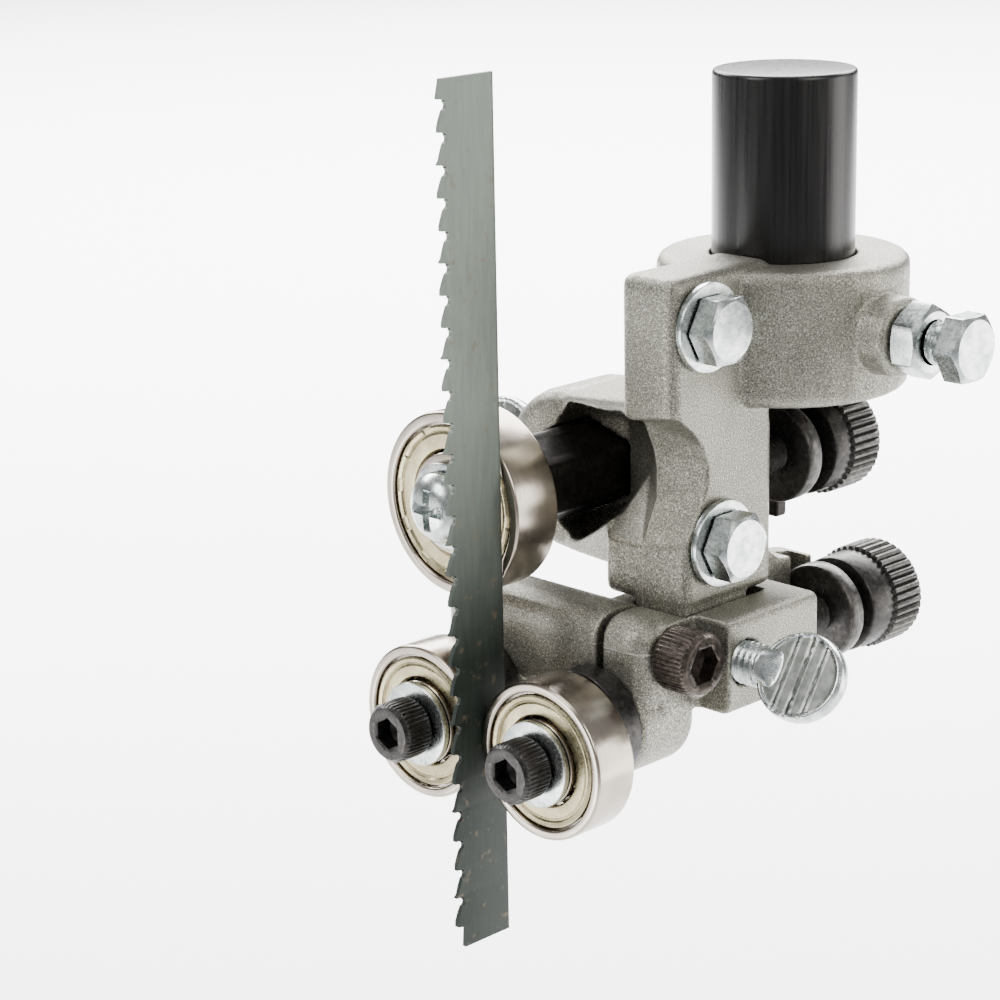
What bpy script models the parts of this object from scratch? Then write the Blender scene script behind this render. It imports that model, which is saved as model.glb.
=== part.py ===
"""Upper blade guide of a band saw, on the lower end of its guide post.

A cast bracket is held on a round post by a set bolt.  It carries a hexagonal shaft with the thrust
bearing behind the blade, and a cast carriage with two side bearings on eccentric bushings.  Two
knurled knobs set the shaft and the carriage forward and back, and two thumb screws lock them.

Millimetres below are turned into metres by MM.  +Z is up, -Y is the front of the saw, where the
teeth point, and +X is the operator's right.  The frame's origin is the middle of the post's top
face.  Places are given from the datum: the blade's back edge, on the blade's right face, at the
height of the side bearings.
"""

import math

import bmesh
import bpy
from mathutils import Matrix, Vector

MM = 0.001
GAP = 0.3                         # kept between touching pieces
HALF_TURN = math.pi

# Datum seen from the middle of the post's top face
DATUM_X = -12.5
DATUM_Y = -44.0
DATUM_Z = -88.0

# Guide post
POST_X = -DATUM_X
POST_Y = -DATUM_Y
POST_TOP = -DATUM_Z
POST_RADIUS = 10.0
POST_BOTTOM = 44.8

# Blade: 10 mm wide, 0.65 mm thick, six teeth to the inch
BLADE_WIDTH = 10.0
BLADE_THICKNESS = 0.65
BLADE_BOTTOM = -29.3
BLADE_TOP = 91.0
TOOTH_PITCH = 25.4 / 6
TOOTH_DEPTH = 1.8

# Side bearings: 8 x 22 x 7.  Thrust bearing: 10 x 26 x 8
SIDE_BORE = 4.0
SIDE_RADIUS = 11.0
SIDE_WIDTH = 7.0
SIDE_FACE = -4.9
SIDE_CLEARANCE = 0.15
RIGHT_BEARING_X = SIDE_RADIUS + SIDE_CLEARANCE
LEFT_BEARING_X = -(SIDE_RADIUS + SIDE_CLEARANCE + BLADE_THICKNESS)
THRUST_BORE = 5.0
THRUST_RADIUS = 13.0
THRUST_WIDTH = 8.0
THRUST_FACE = 0.3
THRUST_X = -10.3
THRUST_Z = 30.8

# Eccentric bushings that carry the side bearings
THROW = 2.5
FLANGE_RADIUS = 8.2
SHANK_RADIUS = 6.0

# Casting faces
ARM_LEFT = 9.0
ARM_RIGHT = 18.8
ARM_FRONT = 13.8
ARM_REAR = 34.6
ARM_TOP = 63.6
WAIST_LEFT = 3.6
WAIST_BOTTOM = 17.4
WAIST_TOP = 42.0
COLLAR_RADIUS = 17.7
COLLAR_BOTTOM = 43.8
COLLAR_TOP = 62.6
BARREL_RADIUS = 12.0
BARREL_FRONT = 22.4
BARREL_REAR = 38.0
TONGUE_LEFT = 9.5
TONGUE_RIGHT = 18.5
TONGUE_FRONT = 16.2
TONGUE_REAR = 29.5
TONGUE_BOTTOM = 6.5
BAR_FRONT = 7.0
BAR_REAR = 15.9
BAR_TOP = 17.6
LOBE_RADIUS = 8.0
LOBE_REAR = 17.9
BLOCK_LEFT = 4.5
BLOCK_RIGHT = 25.1
BLOCK_REAR = 37.6
BLOCK_BOTTOM = 3.6
BLOCK_TOP = 17.0
CARRIAGE_TRAVEL = 3.0

# Corners of the dished hollow beside the shaft, in three convex pieces, and of the web
LEFT_HOLLOW = [
    (-8.2, 8.0, 41.8), (-8.2, 26.2, 41.4), (-8.3, 25.6, 40.2), (-10.9, 8.0, 38.1),
    (-10.9, 27.4, 38.1), (-10.9, 8.0, 23.4), (-10.9, 27.0, 23.4), (-7.4, 8.0, 21.4),
    (-7.4, 24.6, 21.4), (-4.3, 28.5, 41.4), (-4.3, 30.2, 38.0), (-4.3, 30.2, 26.0),
    (-4.3, 26.4, 23.6), (3.6, 8.0, 43.6), (3.6, 24.8, 42.4), (3.6, 26.4, 38.0),
    (3.6, 26.4, 33.0), (3.6, 24.0, 30.8), (3.6, 20.5, 28.0), (3.6, 8.0, 25.4),
]
MIDDLE_HOLLOW = [
    (3.5, 8.0, 43.6), (3.5, 24.8, 42.4), (3.5, 26.4, 38.0), (3.5, 26.4, 33.0),
    (3.5, 24.0, 30.8), (3.5, 20.5, 28.0), (3.5, 16.2, 25.4), (3.5, 8.0, 25.4),
    (10.9, 8.0, 45.2), (10.9, 16.6, 43.0), (10.9, 18.6, 38.6), (10.9, 19.2, 36.0),
    (10.9, 19.2, 31.8), (10.9, 17.8, 29.3), (10.9, 16.2, 25.4), (10.9, 8.0, 25.4),
]
RIGHT_HOLLOW = [
    (10.8, 8.0, 45.2), (10.8, 16.6, 43.0), (10.8, 18.6, 38.6), (10.8, 19.2, 36.0),
    (10.8, 19.2, 31.8), (10.8, 17.8, 29.3), (10.8, 16.2, 25.4), (10.8, 8.0, 25.4),
    (19.4, 8.0, 45.6), (19.4, 14.6, 44.9), (19.4, 18.2, 42.0), (19.4, 19.8, 40.2),
    (19.4, 20.9, 37.2), (19.4, 20.9, 34.6), (19.4, 19.9, 32.6), (19.4, 18.4, 30.6),
    (19.4, 16.2, 26.4), (19.4, 8.0, 26.4),
]
WEB_POINTS = [
    (-10.3, 22.6, 42.4), (-10.3, 36.0, 42.4), (10.0, 14.4, 46.2), (10.0, 36.0, 47.5),
    (-10.3, 22.8, 19.4), (-10.3, 36.0, 19.4), (4.6, 16.8, 21.4), (4.6, 34.0, 21.4),
    (12.0, 16.8, 21.4), (12.0, 34.0, 21.4),
]

# Hexagonal shaft and the plate on its rear end
SHAFT_FLATS = 12.0
SHAFT_REAR = 42.8
PLATE_THICKNESS = 2.3

# Adjusting knobs, both threaded M6, in the arm's middle plane
KNOB_X = 14.0
UPPER_KNOB_Z = 34.3
UPPER_DISC_FRONT = 40.0
LOWER_KNOB_Z = 8.2
LOWER_DISC_FRONT = 50.2
DISC_RADIUS = 7.1
DISC_THICKNESS = 2.8
NECK_RADIUS = 3.8
HEAD_RADIUS = 7.75
UPPER_NECK = 2.9
UPPER_HEAD = 10.3
LOWER_NECK = 2.0
LOWER_HEAD = 11.8

# Threads and hardware
M6 = 3.0
M5 = 2.5
HEX_HEAD_FLATS = 8.8
HEX_HEAD_HEIGHT = 3.4
JAM_NUT_FLATS = 9.2
WASHER_RADIUS = 6.1
CLAMP_Y = 12.6
CLAMP_Z = 12.4
SET_SCREW_X = -13.3
SET_SCREW_Y = 11.5
SLIT_WIDTH = 1.3
THUMB_Y = 21.7
THUMB_Z = 10.5
LOCK_Y = 31.0
GUARD_BOLTS = {"upper": (19.9, 56.6), "lower": (22.9, 26.1)}
SET_BOLT_Z = 53.2

# Sides of the round pieces: large, middling and small
FINE = 30
MEDIUM = 20
COARSE = 12

MATERIALS = {
    "cast_metal": ((0.33, 0.32, 0.30), 0.55, 0.8),
    "black_post": ((0.02, 0.02, 0.02), 0.35, 0.6),
    "bearing_steel": ((0.55, 0.52, 0.49), 0.25, 1.0),
    "bearing_shield": ((0.60, 0.56, 0.45), 0.3, 1.0),
    "ball_steel": ((0.60, 0.60, 0.60), 0.15, 1.0),
    "zinc": ((0.66, 0.69, 0.70), 0.3, 1.0),
    "black_oxide": ((0.03, 0.03, 0.03), 0.45, 0.6),
    "blade_steel": ((0.24, 0.28, 0.26), 0.4, 0.9),
}


def reset_scene():
    """Remove every object, so that the file starts empty."""
    for obj in list(bpy.data.objects):
        bpy.data.objects.remove(obj)


def collection(name):
    """Make a collection in the scene."""
    group = bpy.data.collections.new(name)
    bpy.context.scene.collection.children.link(group)
    return group


def material(name):
    """A Principled material in one of the named finishes."""
    made = bpy.data.materials.get(name)
    if made:
        return made
    colour, roughness, metallic = MATERIALS[name]
    made = bpy.data.materials.new(name)
    made.use_nodes = True
    shader = made.node_tree.nodes["Principled BSDF"]
    shader.inputs["Base Color"].default_value = (*colour, 1.0)
    shader.inputs["Roughness"].default_value = roughness
    shader.inputs["Metallic"].default_value = metallic
    return made


def place(x, y, z):
    """A point given in millimetres from the datum, in metres in the frame."""
    return Vector(((x + DATUM_X) * MM, (y + DATUM_Y) * MM, (z + DATUM_Z) * MM))


AXIS_TURNS = {
    "X": (0.0, HALF_TURN / 2, 0.0),
    "-X": (0.0, -HALF_TURN / 2, 0.0),
    "Y": (-HALF_TURN / 2, 0.0, 0.0),
    "Z": (0.0, 0.0, 0.0),
}


def add(name, mesh, spot, axis, finish, parent=None):
    """Put a mesh in the scene with its local Z along a frame axis; no finish makes it a cutter."""
    obj = bpy.data.objects.new(name, mesh)
    obj.location = place(*spot)
    obj.rotation_euler = AXIS_TURNS[axis]
    if finish:
        PIECES.objects.link(obj)
        mesh.materials.append(material(finish))
        mesh.shade_smooth()
        mesh.set_sharp_from_angle(angle=math.radians(35))
    else:
        CUTTERS.objects.link(obj)
        obj.hide_render = True
        obj.display_type = "WIRE"
    if parent:
        bpy.context.view_layer.update()
        obj.parent = parent
        obj.matrix_parent_inverse = parent.matrix_world.inverted()
    return obj


def bevel(obj, width, segments=2, angle=40):
    """Round an object's sharp edges."""
    rounding = obj.modifiers.new("rounding", "BEVEL")
    rounding.width = width * MM
    rounding.segments = segments
    rounding.limit_method = "ANGLE"
    rounding.angle_limit = math.radians(angle)
    return obj


def box(name, low, high, finish=None, rounding=0.0, segments=2):
    """A box between two corners, with its origin in its middle."""
    size = [(b - a) * MM for a, b in zip(low, high)]
    middle = [(a + b) / 2 for a, b in zip(low, high)]
    bm = bmesh.new()
    bmesh.ops.create_cube(bm, size=1.0)
    bmesh.ops.scale(bm, vec=size, verts=bm.verts)
    mesh = bpy.data.meshes.new(name)
    bm.to_mesh(mesh)
    bm.free()
    obj = add(name, mesh, middle, "Z", finish)
    if rounding:
        bevel(obj, rounding, segments)
    return obj


def rod(name, radius, start, end, spot, axis, finish=None, sides=MEDIUM, turn=0.0, parent=None):
    """A cylinder or prism that runs from start to end along its axis, both measured from spot."""
    bm = bmesh.new()
    bmesh.ops.create_cone(bm, cap_ends=True, segments=sides, radius1=radius * MM,
                          radius2=radius * MM, depth=(end - start) * MM)
    bmesh.ops.rotate(bm, verts=bm.verts, cent=(0, 0, 0), matrix=rotation_z(turn))
    bmesh.ops.translate(bm, verts=bm.verts, vec=(0, 0, (start + end) / 2 * MM))
    mesh = bpy.data.meshes.new(name)
    bm.to_mesh(mesh)
    bm.free()
    return add(name, mesh, spot, axis, finish, parent)


def rotation_z(angle):
    """A rotation about Z."""
    return Matrix.Rotation(angle, 3, "Z")


def turned(name, outline, spot, axis, finish=None, closed=False, steps=MEDIUM, parent=None):
    """A turned piece.  The outline is (radius, height) points, down the outer side."""
    mesh = bpy.data.meshes.new(name)
    points = [(radius * MM, 0.0, height * MM) for radius, height in outline]
    edges = [(i, i + 1) for i in range(len(points) - 1)]
    if closed:
        edges.append((len(points) - 1, 0))
    mesh.from_pydata(points, edges, [])
    obj = add(name, mesh, spot, axis, finish, parent)
    spin = obj.modifiers.new("turning", "SCREW")
    spin.axis = "Z"
    spin.steps = steps
    spin.render_steps = steps
    spin.use_merge_vertices = True
    spin.merge_threshold = 0.00001
    spin.use_smooth_shade = False
    return obj


def outline_plate(name, outline, half_depth, spot, axis, finish=None, parent=None):
    """A flat outline drawn as a filled curve and given a thickness, then made a mesh."""
    curve = bpy.data.curves.new(name, "CURVE")
    curve.dimensions = "2D"
    curve.fill_mode = "BOTH"
    curve.extrude = half_depth * MM
    spline = curve.splines.new("POLY")
    spline.points.add(len(outline) - 1)
    for point, (across, along) in zip(spline.points, outline):
        point.co = (across * MM, along * MM, 0.0, 1.0)
    spline.use_cyclic_u = True
    drawn = bpy.data.objects.new(name + "_curve", curve)
    CUTTERS.objects.link(drawn)
    bpy.context.view_layer.update()
    evaluated = drawn.evaluated_get(bpy.context.evaluated_depsgraph_get())
    mesh = bpy.data.meshes.new_from_object(evaluated)
    bpy.data.objects.remove(drawn)
    bm = bmesh.new()
    bm.from_mesh(mesh)
    bmesh.ops.remove_doubles(bm, verts=bm.verts, dist=0.000001)
    bmesh.ops.recalc_face_normals(bm, faces=bm.faces)
    bm.to_mesh(mesh)
    bm.free()
    mesh.name = name
    return add(name, mesh, spot, axis, finish, parent)


def hull(name, points):
    """The smallest convex solid around some points, as a cutter."""
    bm = bmesh.new()
    for point in points:
        bm.verts.new([value * MM for value in point])
    bmesh.ops.convex_hull(bm, input=bm.verts)
    bmesh.ops.recalc_face_normals(bm, faces=bm.faces)
    mesh = bpy.data.meshes.new(name)
    bm.to_mesh(mesh)
    bm.free()
    return add(name, mesh, (0, 0, 0), "Z", None)


def combine(body, others, operation):
    """Join other solids to a body, or cut them from it."""
    for other in others:
        step = body.modifiers.new(other.name, "BOOLEAN")
        step.operation = operation
        step.solver = "EXACT"
        step.object = other
    return body


def make_post():
    """The round guide post, chamfered at both ends; its top face is where the saw holds it."""
    outline = [(0, POST_TOP), (POST_RADIUS - 0.8, POST_TOP), (POST_RADIUS, POST_TOP - 0.8),
               (POST_RADIUS, POST_BOTTOM + 1), (POST_RADIUS - 1, POST_BOTTOM), (0, POST_BOTTOM)]
    return turned("guide_post", outline, (POST_X, POST_Y, 0), "Z", "black_post", steps=FINE)


def hex_bolt(name, under_head, spot, axis, length, finish="zinc"):
    """A hex-head M6 bolt; under_head is where the head starts along its axis."""
    corner = HEX_HEAD_FLATS / 2 / math.cos(HALF_TURN / 6)
    head = rod(name, corner, under_head, under_head + HEX_HEAD_HEIGHT, spot, axis, finish, sides=6)
    shank = rod(name + "_shank", M6, under_head - length, under_head + 1, spot, axis, sides=COARSE)
    return combine(head, [shank], "UNION")


def washer(name, inner, outer, start, thickness, spot, axis, finish="zinc"):
    """A flat washer."""
    outline = [(inner, start + thickness), (outer, start + thickness), (outer, start),
               (inner, start)]
    return turned(name, outline, spot, axis, finish, closed=True, steps=MEDIUM)


def socket_screw(name, under_head, spot, axis, length, shank=M5, head=4.25, height=5.0, key=4.0):
    """A socket cap screw with its hexagonal key hole."""
    outline = [(0, under_head + height), (head - 0.4, under_head + height),
               (head, under_head + height - 0.4), (head, under_head), (shank, under_head),
               (shank, under_head - length), (0, under_head - length)]
    screw = turned(name, outline, spot, axis, "black_oxide", steps=MEDIUM)
    corner = key / 2 / math.cos(HALF_TURN / 6)
    socket = rod(name + "_socket", corner, under_head + height - 2.6, under_head + height + 1,
                 spot, axis, sides=6)
    return combine(screw, [socket], "DIFFERENCE")


def set_screw(name, low, high, spot):
    """A headless M5 screw with a key hole in its top, standing on what it presses on."""
    outline = [(0, high), (M5 - 0.4, high), (M5, high - 0.4), (M5, low + 0.5), (M5 - 0.6, low),
               (0, low)]
    screw = turned(name, outline, spot, "Z", "black_oxide", steps=COARSE)
    socket = rod(name + "_socket", 1.45, high - 2.6, high + 1, spot, "Z", sides=6)
    return combine(screw, [socket], "DIFFERENCE")


def thumb_screw(name, tip, neck, spot, axis, lean):
    """A spade thumb screw: an M6 thread, a neck and a flat oval paddle that leans by an angle."""
    outline = [(0, neck + 5.0), (2.6, neck + 5.0), (M6, neck + 1.5), (M6, tip + 0.6),
               (M6 - 0.6, tip), (0, tip)]
    screw = turned(name, outline, spot, axis, "zinc", steps=COARSE)
    paddle = rod(name + "_paddle", 1.0, -1.3, 1.3, spot, "Z", sides=FINE)
    paddle.data.transform(paddle_shape(7.2, 6.4))
    along = -1 if axis == "-X" else 1
    paddle.location = place(spot[0] + along * (neck + 8.6), spot[1], spot[2])
    paddle.rotation_euler = (HALF_TURN / 2 - lean, 0, 0)
    bevel(paddle, 0.5, 2)
    return combine(screw, [paddle], "UNION")


def paddle_shape(half_length, half_width):
    """Stretches a round disc to an oval."""
    return Matrix.Diagonal((half_length, half_width, 1.0, 1.0))


def knob(name, disc_front, neck, head, stud_length, spot):
    """A knurled knob: a stud, a retaining disc, a neck and a round head, along Y."""
    disc_rear = disc_front + DISC_THICKNESS
    head_front = disc_rear + neck
    head_rear = head_front + head
    outline = [(0, head_rear), (HEAD_RADIUS - 0.8, head_rear), (HEAD_RADIUS, head_rear - 0.8),
               (HEAD_RADIUS, head_front + 0.5), (HEAD_RADIUS - 0.5, head_front),
               (NECK_RADIUS, head_front), (NECK_RADIUS, disc_rear), (DISC_RADIUS - 0.3, disc_rear),
               (DISC_RADIUS, disc_rear - 0.3), (DISC_RADIUS, disc_front + 0.3),
               (DISC_RADIUS - 0.3, disc_front), (M6, disc_front),
               (M6, disc_front - stud_length + 0.6), (M6 - 0.6, disc_front - stud_length),
               (0, disc_front - stud_length)]
    return turned(name, outline, spot, "Y", "black_oxide", steps=FINE)


def make_bracket():
    """The cast bracket: collar, bolt boss, arm, waist, shaft barrel, web, tongue and rear lug."""
    arm = box("guide_bracket", (ARM_LEFT, ARM_FRONT, WAIST_TOP - 3.0),
              (ARM_RIGHT, ARM_REAR, ARM_TOP), "cast_metal", 1.6, 3)
    waist = box("waist", (WAIST_LEFT, TONGUE_FRONT, WAIST_BOTTOM),
                (ARM_RIGHT, ARM_REAR, WAIST_TOP), None, 1.2, 2)
    collar = rod("collar", COLLAR_RADIUS, COLLAR_BOTTOM, COLLAR_TOP, (POST_X, POST_Y, 0), "Z",
                 sides=FINE)
    bevel(collar, 1.6, 3)
    boss = rod("set_bolt_boss", 5.6, 10.0, 21.7, (POST_X, POST_Y, SET_BOLT_Z), "X", sides=MEDIUM)
    bevel(boss, 0.8, 2)
    barrel = rod("barrel", BARREL_RADIUS, BARREL_FRONT, BARREL_REAR, (THRUST_X, 0, THRUST_Z), "Y",
                 sides=FINE)
    bevel(barrel, 2.6, 3)
    lock_boss = rod("lock_boss", 5.4, 8.0, 12.5, (THRUST_X, LOCK_Y, THRUST_Z), "-X", sides=COARSE)
    web = bevel(hull("web", WEB_POINTS), 1.2)
    tongue = box("tongue", (TONGUE_LEFT, TONGUE_FRONT, TONGUE_BOTTOM),
                 (TONGUE_RIGHT, TONGUE_REAR, WAIST_BOTTOM + 3))
    lug_outline = [(28.0, 18.0), (28.0, 22.0), (40.0, 21.4), (47.0, 16.4), (54.7, 15.2),
                   (54.7, 2.5), (45.6, 2.5), (45.6, 11.0), (38.4, 13.0), (38.4, 18.0)]
    lug = outline_plate("lug", [(-z, y) for y, z in lug_outline], 3.2, (6.7, 0, 0), "X")
    lug.rotation_euler = (HALF_TURN / 2, 0, HALF_TURN / 2)
    lug.data.transform(flip_outline())
    combine(arm, [waist, collar, boss, barrel, lock_boss, web, tongue, lug], "UNION")
    combine(arm, bracket_cutters(), "DIFFERENCE")
    return arm


def flip_outline():
    """Turns an outline drawn as (-Z, Y) so that it reads as (Y, Z)."""
    return Matrix(((0, 1, 0, 0), (-1, 0, 0, 0), (0, 0, 1, 0), (0, 0, 0, 1)))


def bracket_cutters():
    """The bracket's bores, the hollow beside the shaft and the slot for the lower knob's disc."""
    hex_corner = (SHAFT_FLATS / 2 + GAP) / math.cos(HALF_TURN / 6)
    post_bore = rod("post_bore", POST_RADIUS + GAP, 40, 70, (POST_X, POST_Y, 0), "Z", sides=FINE)
    hex_hole = rod("hex_hole", hex_corner, 10, 50, (THRUST_X, 0, THRUST_Z), "Y", sides=6)
    set_hole = rod("set_hole", M6 + GAP, 5.0, 25.0, (POST_X, POST_Y, SET_BOLT_Z), "X", sides=COARSE)
    lock_hole = rod("lock_hole", M6 + GAP, 4.0, 18.0, (THRUST_X, LOCK_Y, THRUST_Z), "-X",
                    sides=COARSE)
    knob_hole = rod("upper_knob_hole", M6 + GAP, 28.4, 40.0, (KNOB_X, 0, UPPER_KNOB_Z), "Y",
                    sides=COARSE)
    bolt_holes = [rod(f"{which}_bolt_hole", M6 + GAP, 11.6, 22.0, (0, y, z), "X",
                      sides=COARSE) for which, (y, z) in GUARD_BOLTS.items()]
    disc_slot = box("disc_slot", (6.3, LOWER_DISC_FRONT - GAP, 0),
                    (12.0, LOWER_DISC_FRONT + DISC_THICKNESS + GAP, 18.5))
    hollows = [hull("left_hollow", LEFT_HOLLOW), hull("middle_hollow", MIDDLE_HOLLOW),
               hull("right_hollow", RIGHT_HOLLOW)]
    return [post_bore, hex_hole, set_hole, lock_hole, knob_hole, *bolt_holes, disc_slot,
            *hollows]


def make_shaft():
    """The hexagonal shaft, turned down at its front to the thrust bearing's bore."""
    corner = SHAFT_FLATS / 2 / math.cos(HALF_TURN / 6)
    spot = (THRUST_X, 0, THRUST_Z)
    shoulder = THRUST_FACE + THRUST_WIDTH + GAP
    shaft = rod("thrust_shaft", corner, shoulder, SHAFT_REAR, spot, "Y", "black_oxide", sides=6)
    journal = rod("journal", THRUST_BORE - GAP, THRUST_FACE + GAP, shoulder + 2, spot, "Y")
    front_thread = rod("front_thread", M5 + GAP, THRUST_FACE - 1, 14.0, spot, "Y", sides=COARSE)
    rear_thread = rod("rear_thread", M5 + GAP, SHAFT_REAR - 9, SHAFT_REAR + 1, spot, "Y", sides=COARSE)
    combine(shaft, [journal], "UNION")
    return combine(shaft, [front_thread, rear_thread], "DIFFERENCE")


def make_shift_plate():
    """The plate on the shaft's rear end; its notch sits in the upper knob's groove."""
    front = UPPER_DISC_FRONT + DISC_THICKNESS + GAP
    plate = box("shift_plate", (THRUST_X - 7, front, THRUST_Z - 7),
                (KNOB_X - 1.5, front + PLATE_THICKNESS, THRUST_Z + 9.5), "black_oxide", 0.4)
    notch = rod("plate_notch", NECK_RADIUS + GAP, 40, 50, (KNOB_X, 0, UPPER_KNOB_Z), "Y")
    hole = rod("plate_hole", M5 + GAP, 40, 50, (THRUST_X, 0, THRUST_Z), "Y", sides=COARSE)
    combine(plate, [notch, hole], "DIFFERENCE")
    screw_seat = front + PLATE_THICKNESS + GAP
    outline = [(0, screw_seat + 2.6), (2.8, screw_seat + 2.6), (4.7, screw_seat + 0.9),
               (4.7, screw_seat), (M5, screw_seat), (M5, screw_seat - 9), (0, screw_seat - 9)]
    turned("plate_screw", outline, (THRUST_X, 0, THRUST_Z), "Y", "black_oxide", steps=MEDIUM)
    return plate


def make_bearing(name, bore, outer, width, face, spot, balls):
    """A shielded ball bearing along Y: two rings, a ball set in its cage and two shields."""
    wall = (outer - bore) * 0.28
    inner_top = bore + wall
    outer_low = outer - wall * 0.72
    rear = face + width
    chamfer = 0.35
    ring = [(bore, rear), (inner_top, rear), (inner_top, face), (bore, face)]
    turned(f"{name}_inner_ring", ring, spot, "Y", "bearing_steel", closed=True)
    ring = [(outer_low, rear), (outer - chamfer, rear), (outer, rear - chamfer),
            (outer, face + chamfer), (outer - chamfer, face), (outer_low, face)]
    turned(f"{name}_outer_ring", ring, spot, "Y", "bearing_steel", closed=True, steps=FINE)
    for side, start in (("front", face + 0.5), ("rear", rear - 0.9)):
        shield = [(inner_top + 0.35, start + 0.4), (outer_low - GAP, start + 0.4),
                  (outer_low - GAP, start), (inner_top + 0.35, start)]
        turned(f"{name}_{side}_shield", shield, spot, "Y", "bearing_shield", closed=True)
    pitch = (inner_top + outer_low) / 2
    ball = (outer_low - inner_top) / 2 - GAP
    middle = face + width / 2
    cage = [(pitch - 0.5, middle + 1.2), (pitch + 0.5, middle + 1.2), (pitch + 0.5, middle - 1.2),
            (pitch - 0.5, middle - 1.2)]
    cage = turned(f"{name}_ball_cage", cage, spot, "Y", "ball_steel", closed=True, steps=MEDIUM)
    combine(cage, [ball_set(name, pitch, ball, middle, spot, balls)], "UNION")


def ball_set(name, pitch, radius, middle, spot, count):
    """A ring of balls, all in one mesh."""
    bm = bmesh.new()
    for step in range(count):
        angle = 2 * HALF_TURN * step / count
        made = bmesh.ops.create_uvsphere(bm, u_segments=8, v_segments=5, radius=radius * MM)
        centre = (pitch * math.cos(angle) * MM, pitch * math.sin(angle) * MM, middle * MM)
        bmesh.ops.translate(bm, verts=made["verts"], vec=centre)
    mesh = bpy.data.meshes.new(f"{name}_balls")
    bm.to_mesh(mesh)
    bm.free()
    return add(f"{name}_balls", mesh, spot, "Y", None)


def make_thrust():
    """The thrust bearing with its washer and pan-head screw."""
    spot = (THRUST_X, 0, THRUST_Z)
    make_bearing("thrust_bearing", THRUST_BORE, THRUST_RADIUS, THRUST_WIDTH, THRUST_FACE, spot, 8)
    washer("thrust_washer", M5 + GAP, 6.1, THRUST_FACE - GAP - 1.0, 1.0, spot, "Y")
    seat = THRUST_FACE - 2 * GAP - 1.0
    outline = [(0, seat + 11.0), (M5, seat + 11.0), (M5, seat), (5.0, seat), (5.0, seat - 0.9),
               (4.4, seat - 2.2), (2.8, seat - 3.2), (0, seat - 3.5)]
    screw = turned("thrust_screw", outline, spot, "Y", "zinc", steps=MEDIUM)
    cross = [box(f"cross_{i}", (THRUST_X - a, seat - 5, THRUST_Z - b),
                 (THRUST_X + a, seat - 2.0, THRUST_Z + b)) for i, (a, b) in
             enumerate(((2.4, 0.55), (0.55, 2.4)))]
    combine(screw, cross, "DIFFERENCE")
    thumb_screw("thrust_lock_screw", SHAFT_FLATS / 2 + GAP, 11.8,
                (THRUST_X, LOCK_Y, THRUST_Z), "-X", math.radians(20))
    knob("upper_adjusting_knob", UPPER_DISC_FRONT, UPPER_NECK, UPPER_HEAD, 11.0,
         (KNOB_X, 0, UPPER_KNOB_Z))


def make_side(side, centre_x):
    """One side bearing on its eccentric bushing, with its washer and cap screw."""
    spot = (centre_x, 0, 0)
    make_bearing(f"{side}_bearing", SIDE_BORE, SIDE_RADIUS, SIDE_WIDTH, SIDE_FACE, spot, 7)
    rear = SIDE_FACE + SIDE_WIDTH
    shank_end = BAR_REAR - GAP
    outline = [(0, shank_end), (SHANK_RADIUS, shank_end), (SHANK_RADIUS, BAR_FRONT - GAP),
               (FLANGE_RADIUS, BAR_FRONT - GAP), (FLANGE_RADIUS, rear + 0.9), (0, rear + 0.9)]
    bushing = turned(f"{side}_eccentric_bushing", outline, (centre_x, 0, THROW), "Y",
                     "black_oxide", steps=FINE)
    land = rod(f"{side}_land", 5.0, rear + GAP, rear + 2, spot, "Y")
    journal = rod(f"{side}_journal", SIDE_BORE - GAP, SIDE_FACE + GAP, rear + 2, spot, "Y")
    thread = rod(f"{side}_thread", M5 + GAP, SIDE_FACE - 1, 9.0, spot, "Y", sides=COARSE)
    combine(bushing, [land, journal], "UNION")
    combine(bushing, [thread], "DIFFERENCE")
    washer(f"{side}_washer", M5 + GAP, 6.0, SIDE_FACE - GAP - 1.0, 1.0, spot, "Y")
    mirrored = (centre_x, SIDE_FACE - 2 * GAP - 1.0, 0)
    screw = socket_screw(f"{side}_bearing_screw", 0.0, mirrored, "Y", 12.0)
    screw.rotation_euler = (HALF_TURN / 2, 0, 0)
    socket = bpy.data.objects[f"{side}_bearing_screw_socket"]
    socket.rotation_euler = (HALF_TURN / 2, 0, 0)


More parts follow.
